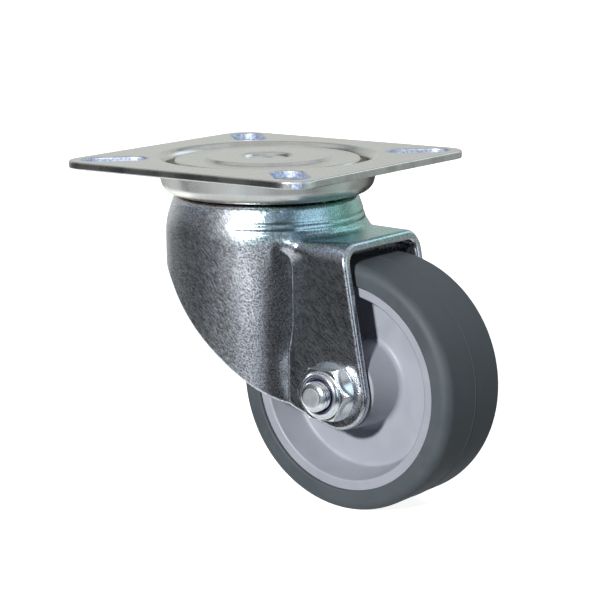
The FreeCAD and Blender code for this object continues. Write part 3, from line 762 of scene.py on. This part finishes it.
def make_hub():
    """The hub: a rim with a rib that keys the tyre on, a recessed web and a long boss."""
    outline = mirrored([
        (-RIB_HALF, RIB_RADIUS, 0.2), (-RIB_HALF - RIB_SLOPE, RIM_RADIUS, 0.2),
        (-RIM_HALF, RIM_RADIUS, 0.15), (-RIM_HALF, RIM_LIP, 0.45),
        (-WEB_HALF, WEB_OUTER, 0.8), (-WEB_HALF, BOSS_BASE, 1.3),
        (-BOSS_HALF, BOSS_END, 0.5), (-BOSS_HALF, BORE_RADIUS, 0.3),
    ])
    put_piece("hub_moulding", *lathe(outline, "Y", (AXLE.x, 0, AXLE.z)), HUB_PLASTIC,
              "wheel", "hub_plastic", "wheel_hub")


def make_tyre():
    """The tyre, with a fine mould line round the middle of its tread."""
    line, tread = MOULD_LINE_HALF, WHEEL_RADIUS - MOULD_LINE_RISE
    outline = mirrored([
        (-RIB_HALF, RIB_RADIUS, 0.2), (-RIB_HALF - RIB_SLOPE, RIM_RADIUS, 0.2),
        (-TYRE_HALF, RIM_RADIUS, 0.35), (-TYRE_HALF, tread, TYRE_SHOULDER),
        (-line, tread, 0.1), (-line * 0.4, WHEEL_RADIUS, 0.1),
    ])
    put_piece("tyre_moulding", *lathe(outline, "Y", (AXLE.x, 0, AXLE.z), steps=10),
              TYRE_RUBBER, "wheel", "tyre_rubber", "tyre")


# ---- axle -------------------------------------------------------------------------------


def bolt_field(x, y, z):
    """An M6 bolt: hexagon head on the +Y side, real thread and chamfered tip at -Y."""
    x, z = x - AXLE.x, z - AXLE.z
    reach = np.hypot(x, z)
    phase = (y / THREAD_PITCH + np.arctan2(z, x) / (2 * math.pi)) % 1.0
    groove = THREAD_DEPTH * (0.5 + 0.5 * np.cos(2 * math.pi * phase))
    fade = np.clip((-y - THREAD_START) / THREAD_RUNOUT, 0, 1)
    shank = (reach - BOLT_RADIUS + groove * fade) * 0.8
    tip = both(-BOLT_TIP - y, (reach - BOLT_TIP_RADIUS - (y + BOLT_TIP) * 1.6) * 0.53, 0.3)
    shank = both(both(shank, tip, 0.12), y - LEG_HALF - 1, 0.1)
    head_end = LEG_HALF + BOLT_HEAD
    thickness = np.abs(y - (LEG_HALF + head_end) / 2) - BOLT_HEAD / 2
    head = both(hexagon(x, z, HEX_APOTHEM, 0.25), thickness, 0.12)
    chamfer = (y - head_end + (reach - HEAD_CHAMFER) * CHAMFER_SLOPE) * CHAMFER_SCALE
    return either(shank, both(head, chamfer, 0.15), 0.2)


def nut_field(x, y, z):
    """An M6 lock nut: a hexagon with a turned chamfer, and the rolled collar. The collar's
    cone runs on down to the leg, where it is wider than the hexagon."""
    x, z, proud = x - AXLE.x, z - AXLE.z, -LEG_HALF - y
    reach = np.hypot(x, z)
    block = both(hexagon(x, z, HEX_APOTHEM, 0.12), np.abs(proud - NUT_HEX / 2) - NUT_HEX / 2, 0.12)
    chamfer = (proud - NUT_HEX + (reach - NUT_CHAMFER) * CHAMFER_SLOPE) * CHAMFER_SCALE
    block = both(block, chamfer, 0.06)
    collar = both((reach - NUT_COLLAR + (proud - NUT_HEX) * 0.45) * 0.91,
                  np.abs(proud - NUT_HEIGHT / 2) - NUT_HEIGHT / 2, 0.5)
    solid = less(either(block, collar, 0.25), reach - NUT_BORE, 0.1)
    nylon_pocket = np.maximum(np.abs(proud - NYLON_MIDDLE) - NYLON_HEIGHT / 2,
                              reach - NYLON_RADIUS)
    solid = less(solid, nylon_pocket, 0.1)
    return less(solid, both(reach - NUT_MOUTH, MOUTH_FLOOR - proud, 0.1), 0.22)


def make_axle():
    """The bolt, the lock nut on the -Y leg, and the nut's nylon ring."""
    nut_end, head_end = -LEG_HALF - NUT_HEIGHT, LEG_HALF + BOLT_HEAD
    around, beyond = 6.3, 0.4
    for name, field, node, near, far, step, look in (
        ("bolt_threaded", bolt_field, "axle_bolt", -BOLT_TIP, head_end, 0.15, BOLT_ZINC),
        ("nut_hexagon", nut_field, "lock_nut", nut_end, -LEG_HALF, 0.12, FASTENER),
    ):
        low = (AXLE.x - around, near - beyond, AXLE.z - around)
        high = (AXLE.x + around, far + beyond, AXLE.z + around)
        put_piece(name, *skin(field, low, high, step), look, "swivel", "fastener_zinc", node)
    outer = nut_end + 0.5
    inner = outer + NYLON_HEIGHT
    outline = [(outer, 3.15, 0.25), (outer, NYLON_RADIUS, 0.1), (inner, NYLON_RADIUS, 0.1),
               (inner, NYLON_BORE, 0.1)]
    put_piece("nylon_ring", *lathe(outline, "Y", (AXLE.x, 0, AXLE.z), segments=96), NYLON,
              "swivel", "nylon", "nut_insert")


make_plate()
make_cap()
make_kingpin()
make_fork()
make_hub()
make_tyre()
make_axle()

for name, node in frame["nodes"].items():
    node.data.materials.clear()
    node.data.materials.append(BALL_STEEL if "_ball_" in name else DRAWN_STEEL)

# ---- floor, light and camera, in metres -------------------------------------------------


def set_on_stage(name, mesh, material):
    """Link a mesh that belongs to the studio, and isn't part of the caster."""
    mesh.materials.append(material)
    thing = bpy.data.objects.new(name, mesh)
    bpy.context.scene.collection.objects.link(thing)
    return thing


def make_floor():
    """A pale light table: it glows a little, so the shadow on it stays faint."""
    look = Finish("pale_floor", specular=0.2)
    grain = look.noise(0.02, detail=2.0)
    material = look.finish(look.blend(grain, (0.90, 0.90, 0.90), (0.92, 0.92, 0.92)), 0.9)
    look.connect((1, 1, 1, 1), look.shader.inputs["Emission Color"])
    look.connect(FLOOR_GLOW, look.shader.inputs["Emission Strength"])
    ways = ((-1, -1), (1, -1), (1, 1), (-1, 1))
    corners = [(x * FLOOR_REACH, y * FLOOR_REACH, cad_low.z) for x, y in ways]
    mesh = bpy.data.meshes.new("floor")
    mesh.from_pydata(corners, [], [(0, 1, 2, 3)])
    floor = set_on_stage("floor", mesh, material)
    floor.visible_diffuse = floor.visible_glossy = False


FLOOR_REACH = 9.0
FLOOR_GLOW = 0.90


def make_light_tent():
    """A dome that only glossy surfaces see: the light and dark parts of the studio."""
    look = Finish("light_tent")
    tree = look.tree
    tree.nodes.remove(look.shader)
    glow = tree.nodes.new("ShaderNodeEmission")
    tree.links.new(glow.outputs[0], tree.nodes["Material Output"].inputs["Surface"])
    way = look.vector("NORMALIZE", look.place)
    flat = look.vector("NORMALIZE", look.vector("MULTIPLY", way, (1, 1, 0)))
    height = look.vector("DOT_PRODUCT", way, (0, 0, 1))
    total = TENT_BASE
    for azimuth, half_width, soft, low, high, edge, colour in TENT_PANELS:
        strength = 1.0
        if half_width < 180:
            turn = math.radians(azimuth)
            facing = look.vector("DOT_PRODUCT", flat, (math.cos(turn), math.sin(turn), 0))
            inner, outer = [math.cos(math.radians(a)) for a in (half_width, half_width + soft)]
            strength = look.spread(facing, outer, inner)
        levels = [math.sin(math.radians(max(-90, min(90, a))))
                  for a in (low - edge, low, high, high + edge)]
        if low > -90:
            strength = look.product(strength, look.spread(height, levels[0], levels[1]))
        if high < 90:
            above = look.spread(height, levels[2], levels[3], 1.0, 0.0)
            strength = look.product(strength, above)
        total = look.vector("ADD", total, look.vector("SCALE", colour, scale=strength))
    look.connect(total, glow.inputs["Color"])
    mesh = bpy.data.meshes.new("light_tent")
    shape = bmesh.new()
    bmesh.ops.create_icosphere(shape, subdivisions=4, radius=TENT_RADIUS)
    shape.to_mesh(mesh)
    shape.free()
    tent = set_on_stage("light_tent", mesh, look.material)
    tent.visible_camera = tent.visible_diffuse = tent.visible_shadow = False
    tent.visible_transmission = tent.visible_volume_scatter = False


TENT_RADIUS = 6.0
TENT_BASE = (0.038, 0.040, 0.042)
# The tent's panels: azimuth, half width and the soft edge beyond it, lowest and highest
# elevation and the soft edge beyond them (all in degrees), then colour times brightness.
TENT_PANELS = [
    (0, 180, 0, -90, -42, 14, (0.80, 0.83, 0.84)),
    (142, 12, 12, -26, 0, 10, (0.42, 0.43, 0.42)),
    (166, 24, 12, -40, -18, 5, (0.75, 0.78, 0.76)),
    (-145, 50, 20, -37, -29, 7, (0.52, 0.54, 0.54)),
    (126, 40, 30, 1, 26, 14, (0.52, 0.53, 0.50)),
    (0, 180, 0, 12, 60, 10, (0.12, 0.125, 0.13)),
    (-74, 10, 16, -40, 20, 16, (0.20, 0.22, 0.25)),
    (4, 14, 10, -3, 24, 6, (1.00, 1.25, 1.42)),
    (30, 8, 14, -30, 14, 14, (0.24, 0.36, 0.32)),
    (60, 14, 18, -30, 4, 12, (0.28, 0.29, 0.28)),
    (60, 14, 16, 22, 34, 9, (1.00, 1.20, 1.36)),
    (0, 180, 0, 54, 90, 20, (0.55, 0.55, 0.55)),
]


def make_world():
    """The weak, even light that fills the shadows."""
    world = bpy.data.worlds.new("studio")
    bpy.context.scene.world = world
    world.use_nodes = True
    glow = world.node_tree.nodes["Background"]
    glow.inputs["Color"].default_value = FILL_COLOUR
    glow.inputs["Strength"].default_value = FILL_STRENGTH


FILL_COLOUR, FILL_STRENGTH = (0.96, 0.98, 1.0, 1.0), 0.06


def make_light(name, way, size, power):
    """A round lamp that shines from the direction `way` at the middle of the caster."""
    data = bpy.data.lights.new(name, "AREA")
    data.shape = "DISK"
    data.size = size
    data.energy = power
    lamp = bpy.data.objects.new(name, data)
    bpy.context.scene.collection.objects.link(lamp)
    away = Vector(way).normalized()
    lamp.location = LIGHT_TARGET + away * LIGHT_DISTANCE
    lamp.rotation_mode = "QUATERNION"
    lamp.rotation_quaternion = away.to_track_quat("Z", "Y")
    return lamp


LIGHT_TARGET = Vector((0.012, 0, -0.035))
LIGHT_DISTANCE = 1.2
# The main light is small, for a crisp shadow. It stands to the camera's left and above.
KEY_WAY, KEY_SIZE, KEY_POWER = (0.26, -1.0, 0.40), 0.07, 16.0
# A wide, weak light from behind keeps the far side of the plastic and rubber from going black.
BACK_WAY, BACK_SIZE, BACK_POWER = (-0.35, 1.0, 0.55), 0.8, 6.0


def make_camera():
    """The camera at the photograph's viewing angle, aimed at the middle of the caster."""
    data = bpy.data.cameras.new("camera")
    camera = bpy.data.objects.new("camera", data)
    bpy.context.scene.collection.objects.link(camera)
    bpy.context.scene.camera = camera
    data.sensor_width = CAMERA_SENSOR
    data.lens = CAMERA_LENS
    data.clip_start = 0.01
    azimuth, elevation = math.radians(CAMERA_AZIMUTH), math.radians(CAMERA_ELEVATION)
    back = Vector((math.sin(azimuth) * math.cos(elevation),
                   -math.cos(azimuth) * math.cos(elevation), math.sin(elevation)))
    level = back.to_track_quat("Z", "Y")
    roll = Matrix.Rotation(math.radians(CAMERA_ROLL), 4, "Z")
    camera.matrix_world = (Matrix.Translation(Vector(CAMERA_TARGET) + back * CAMERA_DISTANCE)
                           @ level.to_matrix().to_4x4() @ roll)


# The azimuth turns from -Y towards +X; angles are in degrees, and the lens in millimetres.
CAMERA_TARGET = (0.00508, 0.00372, -0.03011)
CAMERA_AZIMUTH, CAMERA_ELEVATION, CAMERA_ROLL = 36.518, 11.157, -0.52
CAMERA_DISTANCE = 0.44545
CAMERA_SENSOR, CAMERA_LENS = 36.0, 130.13

make_floor()
make_light_tent()
make_world()
make_light("key", KEY_WAY, KEY_SIZE, KEY_POWER)
make_light("back_light", BACK_WAY, BACK_SIZE, BACK_POWER).visible_glossy = False
make_camera()
bpy.context.scene.view_settings.view_transform = "Standard"
